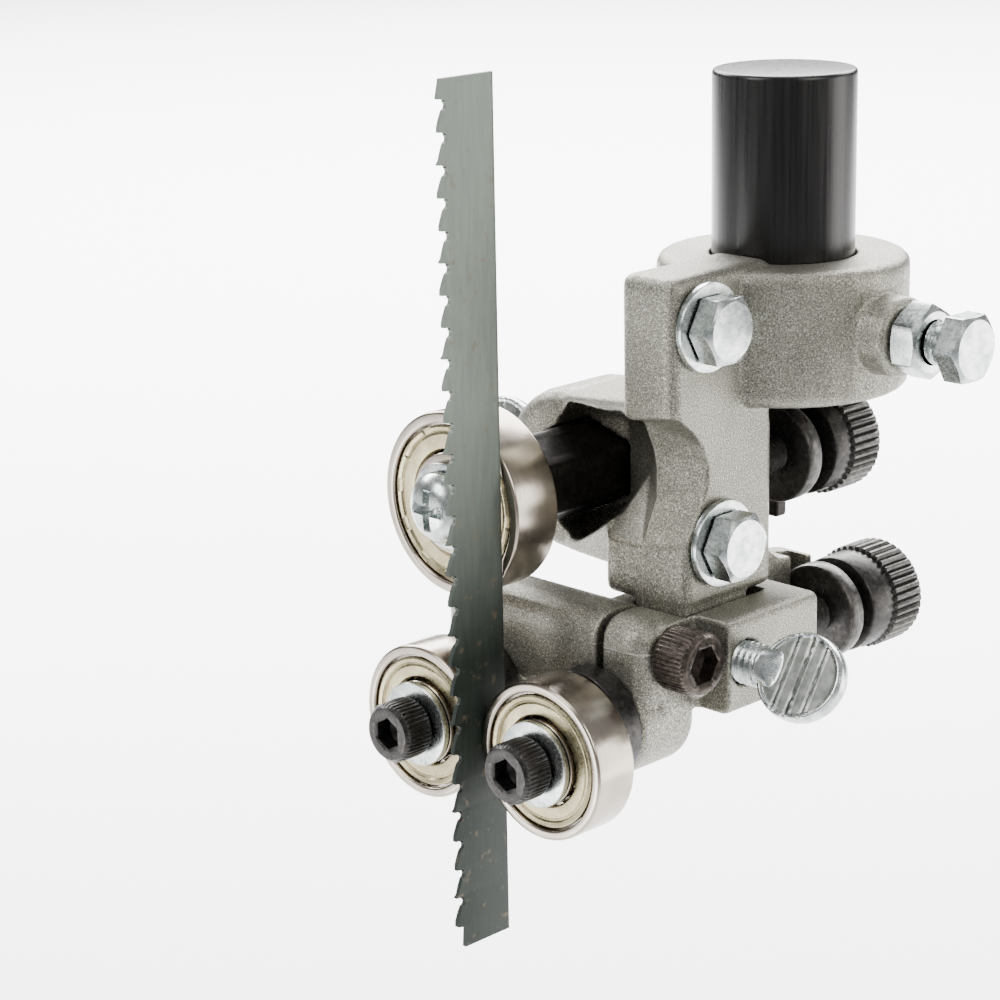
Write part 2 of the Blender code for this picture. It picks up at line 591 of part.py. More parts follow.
def make_carriage():
    """The cast carriage: a bar, a split clamp at its right end and the block on the tongue."""
    bar = box("side_guide_carriage", (LEFT_BEARING_X - LOBE_RADIUS, BAR_FRONT, 4.0),
              (RIGHT_BEARING_X + LOBE_RADIUS, BAR_REAR + 1.0, BAR_TOP), "cast_metal", 3.4, 4)
    block = box("block", (BLOCK_LEFT, BAR_FRONT + 4, BLOCK_BOTTOM),
                (BLOCK_RIGHT, BLOCK_REAR, BLOCK_TOP), None, 1.2)
    corner = box("block_front_corner", (RIGHT_BEARING_X + LOBE_RADIUS, 0, 0),
                 (BLOCK_RIGHT + 3, LOBE_REAR, BLOCK_TOP + 3), None, 1.0)
    lobes = [rod(f"{side}_lobe", LOBE_RADIUS, BAR_FRONT, LOBE_REAR, (x, 0, THROW), "Y", sides=FINE)
             for side, x in (("left", LEFT_BEARING_X), ("right", RIGHT_BEARING_X))]
    for lobe in lobes:
        bevel(lobe, 1.0, 2)
    combine(bar, [block, *lobes], "UNION")
    cutters = [corner, box("groove", (TONGUE_LEFT - GAP, BAR_REAR, TONGUE_BOTTOM - GAP),
                           (TONGUE_RIGHT + GAP, TONGUE_REAR + CARRIAGE_TRAVEL + GAP, 25))]
    for side, x in (("left", LEFT_BEARING_X), ("right", RIGHT_BEARING_X)):
        cutters.append(rod(f"{side}_bushing_bore", SHANK_RADIUS + GAP, 0, LOBE_REAR + 1,
                           (x, 0, THROW), "Y", sides=FINE))
    cutters.append(box("right_slit", (RIGHT_BEARING_X - SLIT_WIDTH / 2, 0, THROW + 2),
                       (RIGHT_BEARING_X + SLIT_WIDTH / 2, BAR_REAR + 0.2, 25)))
    cutters.append(rod("clamp_hole", M5 + GAP, 3.0, 25.0, (0, CLAMP_Y, CLAMP_Z), "X",
                       sides=COARSE))
    cutters.append(rod("set_screw_hole", M5 + GAP, THROW, 25.0, (SET_SCREW_X, SET_SCREW_Y, 0),
                       "Z", sides=COARSE))
    cutters.append(rod("thumb_hole", M6 + GAP, 15.0, 27.5, (0, THUMB_Y, THUMB_Z), "X", sides=COARSE))
    cutters.append(rod("lower_knob_hole", M6 + GAP, 30.0, 40.0, (KNOB_X, 0, LOWER_KNOB_Z), "Y",
                       sides=COARSE))
    combine(bar, cutters, "DIFFERENCE")
    socket_screw("right_clamp_screw", RIGHT_BEARING_X + LOBE_RADIUS + GAP, (0, CLAMP_Y, CLAMP_Z),
                 "X", 15.0, head=4.5, height=6.0, key=4.9)
    set_screw("left_set_screw", THROW + SHANK_RADIUS + GAP, BAR_TOP - 0.6,
              (SET_SCREW_X, SET_SCREW_Y, 0))
    thumb_screw("carriage_lock_screw", TONGUE_RIGHT + GAP, 27.2, (0, THUMB_Y, THUMB_Z), "X",
                math.radians(32))
    knob("lower_adjusting_knob", LOWER_DISC_FRONT, LOWER_NECK, LOWER_HEAD, 18.4,
         (KNOB_X, 0, LOWER_KNOB_Z))
    return bar


def tooth_outline():
    """The blade seen from its right side: a straight back and hooked teeth that point down."""
    floor = TOOTH_DEPTH - BLADE_WIDTH
    outline = [(0.0, BLADE_BOTTOM), (0.0, BLADE_TOP)]
    count = int((BLADE_TOP - BLADE_BOTTOM) / TOOTH_PITCH)
    tip = BLADE_TOP - 2.6
    outline.append((floor + 0.4, BLADE_TOP))
    for step in range(count):
        z = tip - step * TOOTH_PITCH
        outline += [(-BLADE_WIDTH, z), (floor - 0.55, z - 0.02), (floor - 0.1, z - 0.35),
                    (floor, z - 1.0), (floor - 0.08, z - 1.7), (floor - 0.45, z - 2.6)]
    outline.append((floor - 0.2, BLADE_BOTTOM))
    return outline


def make_blade():
    """The length of blade that runs through the guide."""
    blade = outline_plate("saw_blade", tooth_outline(), BLADE_THICKNESS / 2,
                          (-BLADE_THICKNESS / 2, 0, 0), "Z", "blade_steel")
    blade.rotation_euler = (HALF_TURN / 2, 0, HALF_TURN / 2)
    return blade


def make_bracket_hardware():
    """The set bolt with its jam nut, and the two bolts for the blade guard."""
    spot = (POST_X, POST_Y, SET_BOLT_Z)
    hex_bolt("set_bolt", 29.6, spot, "X", 19.3)
    corner = JAM_NUT_FLATS / 2 / math.cos(HALF_TURN / 6)
    nut = rod("jam_nut", corner, 22.0, 26.2, spot, "X", "zinc", sides=6, turn=HALF_TURN / 6)
    thread = rod("nut_thread", M6 + GAP, 15.0, 30.0, spot, "X", sides=COARSE)
    combine(nut, [thread], "DIFFERENCE")
    for which, (y, z) in GUARD_BOLTS.items():
        spot = (0, y, z)
        washer(f"{which}_guard_washer", M6 + GAP, WASHER_RADIUS, ARM_RIGHT + GAP, 1.0, spot, "X")
        hex_bolt(f"{which}_guard_bolt", ARM_RIGHT + 1.0 + 2 * GAP, spot, "X", 8.4)


reset_scene()
PIECES = collection("upper_blade_guide")
CUTTERS = collection("cutters")
make_post()
make_bracket()
make_bracket_hardware()
make_shaft()
make_shift_plate()
make_thrust()
make_side("left", LEFT_BEARING_X)
make_side("right", RIGHT_BEARING_X)
make_carriage()
make_blade()
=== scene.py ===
"""Looks for the upper blade guide of a band saw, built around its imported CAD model.

Lengths are in millimetres, turned into metres by MM.  Places are given from the datum: the blade's
back edge, on the blade's right face, at the height of the side bearings.  +X is the operator's
right, -Y the front of the saw and +Z up.  A turned piece is drawn round its own local Z, which is
then laid along a frame axis, with its origin on its joint's axis.
"""

import math

import bmesh
import bpy
from mathutils import Matrix, Vector


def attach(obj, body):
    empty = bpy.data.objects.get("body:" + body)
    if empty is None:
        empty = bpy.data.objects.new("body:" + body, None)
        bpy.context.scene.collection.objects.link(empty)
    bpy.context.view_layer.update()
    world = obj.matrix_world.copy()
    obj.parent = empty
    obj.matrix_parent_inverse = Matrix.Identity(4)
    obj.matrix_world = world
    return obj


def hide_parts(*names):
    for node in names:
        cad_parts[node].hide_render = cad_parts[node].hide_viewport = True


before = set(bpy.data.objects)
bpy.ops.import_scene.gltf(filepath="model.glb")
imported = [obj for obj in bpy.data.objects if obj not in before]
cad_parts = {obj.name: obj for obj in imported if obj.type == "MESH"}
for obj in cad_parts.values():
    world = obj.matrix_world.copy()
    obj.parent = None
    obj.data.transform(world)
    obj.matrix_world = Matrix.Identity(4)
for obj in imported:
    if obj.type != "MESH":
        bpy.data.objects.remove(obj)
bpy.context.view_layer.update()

MM = 0.001
TURN = 2 * math.pi
DATUM = Vector((-12.5, -44.0, -88.0))

# Main sizes, as in the CAD model
POST = (12.5, 44.0)
POST_RADIUS = 10.0
BLADE_WIDTH = 10.0
BLADE_THICKNESS = 0.65
TOOTH_PITCH = 25.4 / 6
THRUST_X = -10.3
THRUST_Z = 30.8
RIGHT_X = 11.15
LEFT_X = -11.8
THROW = 2.5
SET_BOLT_Z = 53.2
CLAMP_Y = 12.6
CLAMP_Z = 12.4
SET_SCREW_X = -13.3
SET_SCREW_Y = 11.5
THUMB_Y = 21.7
THUMB_Z = 10.5
LOCK_Y = 31.0
KNOB_X = 14.0
GUARD_BOLTS = {"upper": (19.9, 56.6), "lower": (22.9, 26.1)}
ARM_RIGHT = 18.8
HEX_FLATS = 8.8
HEX_HEIGHT = 3.4
NUT_FLATS = 9.2
WASHER_RADIUS = 6.1
M6 = 3.0
M5 = 2.5
PITCH_M6 = 1.0
PITCH_M5 = 0.8
ROUND = 96                         # points round a smooth turned piece
ROWS_PER_TURN = 12                 # rows of points along each turn of a thread
POST_TOP = 88.0
POST_BOTTOM = 44.8
BLADE_TOP = 91.0
BLADE_BOTTOM = -29.3
THRUST_BEARING = (5.0, 13.0, 8.0)  # radius of the bore, outer radius and width
SIDE_BEARING = (4.0, 11.0, 7.0)
DISC_RADIUS = 7.1                  # the knobs' retaining discs
DISC_THICKNESS = 2.8
KNURL_RADIUS = 7.75
KNURL_LENGTH = 6.9
FLUTES = 40                        # grooves round a knob or a socket screw's head


# ------------------------------------------------------------------ geometry

AXIS_TURNS = {
    "X": (0.0, TURN / 4, 0.0),
    "-X": (0.0, -TURN / 4, 0.0),
    "Y": (-TURN / 4, 0.0, 0.0),
    "-Y": (TURN / 4, 0.0, 0.0),
    "Z": (0.0, 0.0, 0.0),
}


def place(x, y, z):
    """A point given in millimetres from the datum, in metres in the frame."""
    return (Vector((x, y, z)) + DATUM) * MM


def finish_mesh(bm, name, sharp=32):
    """Turn a bmesh into a smooth-shaded mesh with sharp corners."""
    bmesh.ops.remove_doubles(bm, verts=bm.verts, dist=0.000002)
    bmesh.ops.recalc_face_normals(bm, faces=bm.faces)
    mesh = bpy.data.meshes.new(name)
    bm.to_mesh(mesh)
    bm.free()
    mesh.shade_smooth()
    mesh.set_sharp_from_angle(angle=math.radians(sharp))
    return mesh


def piece(name, mesh, spot, axis, body, material, replaces=()):
    """Add a piece, lay its local Z along a frame axis and let it ride on a body."""
    obj = bpy.data.objects.new(name, mesh)
    bpy.context.scene.collection.objects.link(obj)
    obj.location = place(*spot)
    obj.rotation_euler = AXIS_TURNS[axis]
    mesh.materials.append(material)
    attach(obj, body)
    for node in replaces:
        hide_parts(node)
    return obj


def rounded(outline, radius, steps=3, closed=False):
    """Round the corners of an outline of (radius, height) points."""
    result = []
    count = len(outline)
    for i, corner in enumerate(outline):
        if not closed and i in (0, count - 1):
            result.append(corner)
            continue
        here = Vector(corner)
        before = Vector(outline[i - 1]) - here
        after = Vector(outline[(i + 1) % count]) - here
        reach = min(radius, before.length * 0.45, after.length * 0.45)
        start = here + before.normalized() * reach
        end = here + after.normalized() * reach
        for step in range(steps + 1):
            t = step / steps
            point = start * (1 - t) ** 2 + here * 2 * t * (1 - t) + end * t ** 2
            result.append(tuple(point))
    return result


def turned(name, profile, segments=ROUND, closed=False, sharp=32):
    """A turned mesh.  The profile is (radius, height) points, or a function of the angle."""
    bm = bmesh.new()
    rings = []
    for i in range(segments):
        angle = TURN * i / segments
        points = profile(angle) if callable(profile) else profile
        rings.append([bm.verts.new((r * math.cos(angle) * MM, r * math.sin(angle) * MM, h * MM))
                      for r, h in points])
    rows = len(rings[0])
    for i in range(segments):
        one, two = rings[i], rings[(i + 1) % segments]
        for j in range(rows if closed else rows - 1):
            k = (j + 1) % rows
            bm.faces.new((one[j], two[j], two[k], one[k]))
    bmesh.ops.dissolve_degenerate(bm, edges=bm.edges, dist=0.0000005)
    return finish_mesh(bm, name, sharp)


def hex_radius(angle, flats, turn=0.0, corner=1.0):
    """Distance from a hexagon's centre to its side, with its corners slightly worn."""
    offset = (angle - turn) % (TURN / 6) - TURN / 12
    sharp = flats / 2 / math.cos(offset)
    return min(sharp, flats / 2 / math.cos(TURN / 12) * corner)


def thread_radius(radius, pitch, angle, height):
    """The radius of a screw thread with narrow crests and rounded roots."""
    phase = (height / pitch - angle / TURN) % 1.0
    ridge = abs(phase - 0.5) * 2
    depth = 0.6 * pitch
    return radius - depth * (1 - min(1.0, ridge * 1.15)) ** 0.85


def thread_rows(radius, pitch, angle, high, low):
    """Rows down a thread from its high end to its low end."""
    count = max(2, int((high - low) / pitch * ROWS_PER_TURN))
    rows = []
    for i in range(count + 1):
        height = high + (low - high) * i / count
        rows.append((thread_radius(radius, pitch, angle, height), height))
    return rows


def knurl(angle, count, depth):
    """How far a straight knurl's groove cuts in at an angle."""
    wave = 0.5 - 0.5 * math.cos(count * angle)
    return depth * wave ** 2.2


def join(obj, other):
    """Union another object into this one and drop the other."""
    step = obj.modifiers.new("join", "BOOLEAN")
    step.operation = "UNION"
    step.solver = "EXACT"
    step.object = other
    bpy.context.view_layer.update()
    evaluated = obj.evaluated_get(bpy.context.evaluated_depsgraph_get())
    mesh = bpy.data.meshes.new_from_object(evaluated)
    obj.modifiers.remove(step)
    obj.data = mesh
    mesh.shade_smooth()
    mesh.set_sharp_from_angle(angle=math.radians(32))
    bpy.data.objects.remove(other)
    return obj


# ------------------------------------------------------------------ materials

class Shader:
    """A node material, with short ways to add the nodes it is made of."""

    def __init__(self, name, metallic, roughness):
        self.material = bpy.data.materials.new(name)
        self.material.use_nodes = True
        self.tree = self.material.node_tree
        self.shader = self.tree.nodes["Principled BSDF"]
        self.shader.inputs["Metallic"].default_value = metallic
        self.shader.inputs["Roughness"].default_value = roughness
        self.coords = self.tree.nodes.new("ShaderNodeTexCoord").outputs["Object"]

    def node(self, kind, **values):
        made = self.tree.nodes.new(kind)
        for key, value in values.items():
            setattr(made, key, value)
        return made

    def link(self, source, target):
        if isinstance(source, (int, float)):
            target.default_value = source
        else:
            self.tree.links.new(source, target)

    def stretched(self, x=1.0, y=1.0, z=1.0):
        """Object coordinates, stretched along an axis by a small factor."""
        mapping = self.node("ShaderNodeMapping")
        mapping.inputs["Scale"].default_value = (x, y, z)
        self.link(self.coords, mapping.inputs["Vector"])
        return mapping.outputs["Vector"]

    def noise(self, size, detail=2.0, coords=None, rough=0.5):
        """Noise whose spots are about size millimetres across."""
        made = self.node("ShaderNodeTexNoise")
        made.inputs["Scale"].default_value = 1 / (size * MM)
        made.inputs["Detail"].default_value = detail
        made.inputs["Roughness"].default_value = rough
        self.link(coords or self.coords, made.inputs["Vector"])
        return made.outputs["Fac"]

    def range(self, value, low, high, new_low=0.0, new_high=1.0):
        """Map a value from one range to another, held at its ends."""
        made = self.node("ShaderNodeMapRange")
        self.link(value, made.inputs["Value"])
        made.inputs["From Min"].default_value = low
        made.inputs["From Max"].default_value = high
        made.inputs["To Min"].default_value = new_low
        made.inputs["To Max"].default_value = new_high
        return made.outputs["Result"]

    def math(self, operation, one, two=0.0):
        made = self.node("ShaderNodeMath", operation=operation)
        self.link(one, made.inputs[0])
        self.link(two, made.inputs[1])
        return made.outputs[0]

    def axis(self, which):
        """One of the object coordinates, in metres."""
        made = self.node("ShaderNodeSeparateXYZ")
        self.link(self.coords, made.inputs[0])
        return made.outputs[which]

    def mix(self, factor, one, two):
        """Blend two colours; each is a tuple or a socket."""
        made = self.node("ShaderNodeMix", data_type="RGBA")
        self.link(factor, made.inputs["Factor"])
        for value, slot in ((one, made.inputs[6]), (two, made.inputs[7])):
            if isinstance(value, tuple):
                slot.default_value = (*value, 1.0)
            else:
                self.link(value, slot)
        return made.outputs[2]

    def colour(self, value):
        if isinstance(value, tuple):
            self.shader.inputs["Base Color"].default_value = (*value, 1.0)
        else:
            self.link(value, self.shader.inputs["Base Color"])

    def roughness(self, value):
        self.link(value, self.shader.inputs["Roughness"])

    def bump(self, height, depth, strength=1.0, under=None):
        """Raise the surface by a height of 0 to 1, depth millimetres deep."""
        made = self.node("ShaderNodeBump")
        made.inputs["Strength"].default_value = strength
        made.inputs["Distance"].default_value = depth * MM
        self.link(height, made.inputs["Height"])
        if under:
            self.link(under, made.inputs["Normal"])
        self.link(made.outputs["Normal"], self.shader.inputs["Normal"])
        return made.outputs["Normal"]

    def line(self, axis, at, width):
        """1 on a thin line across an axis, 0 away from it."""
        away = self.math("ABSOLUTE", self.math("SUBTRACT", self.axis(axis), at * MM))
        return self.range(away, 0.0, width * MM, 1.0, 0.0)


def cast_metal(name, seam_axis, seam_at, seam_from, seam_to, limit_axis):
    """Blasted light-alloy casting: a fine bright grain, soft mottling and a thin mould seam.

    The seam's places are millimetres in the frame: it crosses seam_axis at seam_at and runs along
    limit_axis between its two ends.
    """
    s = Shader(name, 0.85, 0.5)
    grain = s.noise(0.21, 2.0, rough=0.6)
    pits = s.noise(0.85, 3.0)
    cloud = s.noise(9.0, 3.0)
    body = s.mix(s.range(cloud, 0.35, 0.68), (0.205, 0.199, 0.168), (0.285, 0.277, 0.234))
    darker = s.mix(s.range(grain, 0.34, 0.50), (0.115, 0.108, 0.092), body)
    specks = s.range(grain, 0.56, 0.68)
    speckled = s.mix(specks, darker, (0.60, 0.585, 0.50))
    inside = s.math("MULTIPLY", s.range(s.axis(limit_axis), (seam_from - 0.4) * MM, seam_from * MM),
                    s.range(s.axis(limit_axis), seam_to * MM, (seam_to + 0.4) * MM, 1.0, 0.0))
    wobble = s.noise(4.0, 2.0)
    seam = s.math("MULTIPLY", s.line(seam_axis, seam_at, 0.16), inside)
    seam = s.math("MULTIPLY", seam, s.range(wobble, 0.38, 0.52, 0.15, 1.0))
    s.colour(s.mix(s.math("MULTIPLY", seam, 0.5), speckled, (0.62, 0.60, 0.57)))
    s.roughness(s.range(grain, 0.3, 0.7, 0.55, 0.33))
    fine = s.bump(grain, 0.085, 0.9)
    coarse = s.bump(pits, 0.08, 0.8, fine)
    s.bump(seam, 0.10, 0.8, coarse)
    return s.material


def zinc_plate(name, low, high, rough):
    """Zinc plate: bluish grey, with faint clouds, fine scratches and a few dull specks."""
    s = Shader(name, 1.0, rough)
    cloud = s.noise(1.8, 4.0)
    tone = s.mix(s.range(cloud, 0.36, 0.62), low, high)
    specks = s.range(s.noise(0.30, 1.0), 0.64, 0.70)
    s.colour(s.mix(s.math("MULTIPLY", specks, 0.7), tone, (0.20, 0.21, 0.20)))
    scratch = s.noise(0.5, 2.0, s.stretched(1.0, 0.4, 1.0))
    s.roughness(s.range(scratch, 0.3, 0.7, rough - 0.03, rough + 0.07))
    s.bump(s.noise(0.6, 2.0), 0.02, 0.3)
    return s.material


def black_oxide(name, colour, light, roughness=0.36):
    """Oiled black oxide on steel, worn a little lighter in patches."""
    s = Shader(name, 0.8, roughness)
    wear = s.noise(0.9, 4.0, rough=0.6)
    s.colour(s.mix(s.range(wear, 0.40, 0.80), colour, light))
    s.roughness(s.range(s.noise(0.7, 3.0), 0.3, 0.7, roughness - 0.08, roughness + 0.16))
    s.bump(s.noise(0.28, 2.0), 0.03, 0.6)
    return s.material


def ring_steel():
    """Ground bearing steel: smooth and warm, with barely visible grinding lines."""
    s = Shader("ring_steel", 1.0, 0.2)
    lines = s.noise(0.22, 2.0, s.stretched(0.03, 0.03, 1.0))
    cloud = s.noise(5.0, 2.0)
    s.colour(s.mix(s.range(cloud, 0.35, 0.65), (0.39, 0.340, 0.285), (0.49, 0.435, 0.370)))
    s.roughness(s.range(lines, 0.3, 0.7, 0.20, 0.27))
    return s.material


def shield_steel():
    """Pressed bearing shield with a pale straw tint and faint round lines."""
    s = Shader("shield_steel", 1.0, 0.3)
    cloud = s.noise(2.2, 3.0)
    s.colour(s.mix(s.range(cloud, 0.35, 0.65), (0.32, 0.28, 0.17), (0.43, 0.38, 0.24)))
    s.roughness(s.range(s.noise(0.35, 3.0), 0.3, 0.7, 0.22, 0.4))
    s.bump(s.noise(0.5, 2.0), 0.025, 0.5)
    return s.material


def post_steel():
    """Satin black bar, drawn lengthwise, with a little rust low down."""
    s = Shader("post_steel", 0.35, 0.3)
    along = s.noise(0.7, 3.0, s.stretched(1.0, 1.0, 0.03))
    body = s.mix(s.range(along, 0.35, 0.7), (0.0065, 0.006, 0.006), (0.014, 0.013, 0.0125))
    low = s.range(s.axis("Z"), -25.0 * MM, -29.0 * MM)
    rust = s.math("MULTIPLY", low, s.range(s.noise(0.9, 4.0), 0.52, 0.62))
    s.colour(s.mix(rust, body, (0.10, 0.045, 0.022)))
    s.roughness(s.range(along, 0.3, 0.7, 0.24, 0.36))
    s.bump(along, 0.01, 0.5)
    return s.material


def blade_steel():
    """Blued strip: grey-green above, painted shade darkening it below, streaked along its length,
    with a dark rim.
    """
    s = Shader("blade_steel", 0.1, 0.5)
    s.shader.inputs["Specular IOR Level"].default_value = 0.2
    streaks = s.noise(0.9, 4.0, s.stretched(1.0, 1.0, 0.14), 0.6)
    blotch = s.noise(1.5, 3.0)
    # Painted shade: the strip goes near black from the side bearings' height down, fades to the lit
    # grey-green above and lightens a very little near its bottom end
    shade_fading_up = s.range(s.axis("Z"), -76.0 * MM, -38.0 * MM)
    shade_fading_down = s.range(s.axis("Z"), -92.0 * MM, -104.0 * MM, 0.0, 0.02)
    height = s.math("ADD", shade_fading_up, shade_fading_down)
    upper = s.mix(s.range(streaks, 0.30, 0.72), (0.165, 0.192, 0.166), (0.22, 0.25, 0.215))
    # The near-black colour of the painted shade
    lower = s.mix(s.range(streaks, 0.30, 0.72), (0.012, 0.018, 0.015), (0.027, 0.035, 0.029))
    body = s.mix(height, lower, upper)
    rusty = s.mix(s.range(blotch, 0.62, 0.74, 0.0, 0.55), body, (0.16, 0.115, 0.07))
    back = s.range(s.axis("Y"), -44.55 * MM, -44.05 * MM)
    s.colour(s.mix(s.math("MULTIPLY", back, 0.55), rusty, (0.03, 0.032, 0.028)))
    s.roughness(s.range(streaks, 0.3, 0.7, 0.46, 0.60))
    s.bump(streaks, 0.02, 0.4)
    return s.material


def plain_ball_steel():
    """Polished balls and their pressed cage."""
    s = Shader("ball_steel", 1.0, 0.16)
    s.colour(s.mix(s.range(s.noise(2.0), 0.3, 0.7), (0.6, 0.6, 0.6), (0.72, 0.72, 0.71)))
    return s.material


def pale_floor():
    """Matt pale floor."""
    s = Shader("pale_floor", 0.0, 0.9)
    s.colour(s.mix(s.noise(900.0), (0.90, 0.90, 0.905), (0.915, 0.915, 0.92)))
    return s.material


# The rough shaded plate is for the thumb screws' paddle faces: rougher than the zinc, and darker in
# colour as painted shade. The worn oxide is for the knobs' rims and crests
ZINC = zinc_plate("zinc_plate", (0.39, 0.43, 0.43), (0.66, 0.69, 0.67), 0.24)
ROUGH_SHADED_ZINC = zinc_plate("rough_shaded_zinc", (0.16, 0.168, 0.156), (0.32, 0.333, 0.31), 0.38)
OXIDE = black_oxide("black_oxide", (0.030, 0.028, 0.027), (0.062, 0.058, 0.054), 0.32)
BROWN_OXIDE = black_oxide("brown_oxide", (0.050, 0.040, 0.034), (0.13, 0.104, 0.089), 0.30)
WORN_OXIDE = black_oxide("worn_oxide", (0.052, 0.050, 0.047), (0.13, 0.122, 0.114), 0.34)
SHAFT_BLACK = black_oxide("shaft_black", (0.013, 0.011, 0.010), (0.034, 0.029, 0.025), 0.42)
RING = ring_steel()
SHIELD = shield_steel()
BALLS = plain_ball_steel()


# ------------------------------------------------------------------ castings

def soft_casting(node, body, material, voxel, passes):
    """A casting with the soft edges and fillets that its mould gives it."""
    obj = bpy.data.objects.new(node + "_cast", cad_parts[node].data.copy())
    bpy.context.scene.collection.objects.link(obj)
    obj.data.materials.clear()
    obj.data.materials.append(material)
    remesh = obj.modifiers.new("even", "REMESH")
    remesh.mode = "VOXEL"
    remesh.voxel_size = voxel * MM
    remesh.use_smooth_shade = True
    smooth = obj.modifiers.new("soften", "SMOOTH")
    smooth.factor = 0.5
    smooth.iterations = passes
    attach(obj, body)
    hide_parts(node)
    return obj


# ------------------------------------------------------------------ screws, bolts and washers

def hex_head(angle, base, height, flats, turn, both=False):
    """Rows over a hexagonal head, top to bottom, with the corners chamfered to a round face."""
    reach = hex_radius(angle, flats, turn, 0.99)
    face = flats * 0.465
    drop = max(0.0, reach - face) * 0.52
    top = base + height
    rows = [(face * 0.5, top + 0.02), (face - 0.1, top + 0.02), (face, top - 0.03),
            (reach - 0.05, top - drop), (reach, top - drop - 0.06)]
    lift = drop if both else 0.0
    rows += [(reach, base + lift + 0.12), (reach - 0.1, base + lift)]
    if both:
        rows.append((face, base + 0.02))
    return rows


def hex_bolt(name, spot, base, length, thread_top, body):
    """A zinc hex bolt along +X with a real thread below its head."""
    def profile(angle):
        head = hex_head(angle, base, HEX_HEIGHT, HEX_FLATS, TURN / 12)
        thread = thread_rows(M6, PITCH_M6, angle, thread_top, base - length + 0.5)
        neck = [(M6 - 0.35, base), (M6 - 0.35, thread_top)]
        tip = [(M6 - 0.9, base - length), (0, base - length)]
        return [(0, base + HEX_HEIGHT + 0.02)] + head + neck + thread + tip
    mesh = turned(name, profile, 96, sharp=17)
    return piece(name + "_zinc", mesh, spot, "X", body, ZINC, [name])


def jam_nut(spot):
    """The hexagonal jam nut, chamfered on both faces."""
    def profile(angle):
        rows = hex_head(angle, 22.0, 4.2, NUT_FLATS, 0.0, True)
        return rows + [(M6 + 0.5, 22.02), (M6 + 0.07, 22.4), (M6 + 0.07, 25.9), (M6 + 0.15, 26.22)]
    return piece("jam_nut_zinc", turned("jam_nut_zinc", profile, 96, True, 17), spot, "X",
                 "jam_nut", ZINC, ["jam_nut"])


def washer(name, spot, axis, inner, outer, start, thickness, body):
    """A stamped washer, rounded on its outer face."""
    outline = rounded([(inner, start + thickness), (outer, start + thickness), (outer, start),
                       (inner, start)], 0.22, 3, closed=True)
    return piece(name + "_zinc", turned(name, outline, closed=True), spot, axis, body,
                 ZINC, [name])


def cap_screw(name, spot, axis, base, length, body, material, radius=4.25, height=5.0, key=4.0):
    """A socket cap screw: knurled head, chamfered rim and a hexagonal key hole."""
    depth = 2.5
    mouth = key / 2 / math.cos(TURN / 12) + 0.17
    top = base + height

    def profile(angle):
        wall = hex_radius(angle, key, TURN / 12)
        side = radius - knurl(angle, FLUTES, 0.16)
        return [(0, top - depth - 0.7), (wall * 0.75, top - depth - 0.2), (wall, top - depth),
                (wall, top - 0.22), (mouth, top), (radius - 0.75, top), (radius - 0.55, top - 0.05),
                (radius - 0.32, top - 0.32), (side - 0.04, top - 0.62), (side, top - 0.8),
                (side, base + 0.75), (side - 0.06, base + 0.5), (radius - 0.3, base + 0.12),
                (radius - 0.5, base), (M5 - 0.1, base), (M5 - 0.1, base - length + 0.5),
                (M5 - 0.6, base - length), (0, base - length)]
    mesh = turned(name, profile, 240)
    return piece(name + "_black", mesh, spot, axis, body, material, [name])


def set_screw(spot, low, high):
    """The headless screw above the left bushing, with a hexagonal key hole in its top."""
    def profile(angle):
        wall = hex_radius(angle, 2.5)
        rows = [(0, high - 2.4), (wall, high - 2.2), (wall, high - 0.1), (1.6, high),
                (M5 - 0.6, high), (M5 - 0.25, high - 0.3)]
        rows += thread_rows(M5, PITCH_M5, angle, high - 0.4, low + 0.6)
        return rows + [(M5 - 0.9, low), (0, low)]
    return piece("left_set_screw_black", turned("set_screw", profile, 96), spot, "Z", "left_set",
                 OXIDE, ["left_set_screw"])


def pan_screw():
    """The cross-recessed pan-head screw in the thrust bearing."""
    seat = -1.3
    reach, arm = 2.95, 0.68

    def cross(angle):
        offset = (angle + TURN / 8) % (TURN / 4) - TURN / 8
        side = arm / max(0.0001, abs(math.sin(offset)))
        return min(reach / math.cos(offset), side)

    def profile(angle):
        edge = cross(angle)
        dome = [(5.0, seat), (5.0, seat - 0.75), (4.85, seat - 1.15), (4.45, seat - 1.75),
                (3.9, seat - 2.25), (3.2, seat - 2.65), (2.75, seat - 2.8)]
        rim = seat - 2.92 - (2.6 - edge) * 0.10
        recess = [(edge, rim), (edge * 0.96, rim + 0.12), (edge * 0.72, seat - 1.5),
                  (edge * 0.35, seat - 0.9), (0, seat - 0.7)]
        stem = [(0, seat + 11.0), (M5, seat + 10.5), (M5, seat)]
        return stem + dome + recess
    mesh = turned("thrust_screw_pan", profile, 192)
    return piece("thrust_screw_pan", mesh, (THRUST_X, 0, THRUST_Z), "Y", "thrust_shaft",
                 ZINC, ["thrust_screw"])


def plate_screw():
    """The button-head screw that holds the shift plate on the shaft."""
    seat = 45.7

    def profile(angle):
        wall = hex_radius(angle, 3.0)
        return [(0, seat + 1.2), (wall, seat + 1.2), (wall, seat + 2.45), (2.1, seat + 2.6),
                (2.9, seat + 2.5), (3.9, seat + 1.9), (4.55, seat + 1.0), (4.7, seat + 0.5),
                (4.7, seat + 0.1), (4.5, seat), (M5, seat), (M5, seat - 9), (0, seat - 9)]
    return piece("plate_screw_black", turned("plate_screw", profile, 96), (THRUST_X, 0, THRUST_Z),
                 "Y", "thrust_shaft", OXIDE, ["plate_screw"])


# ------------------------------------------------------------------ bearings

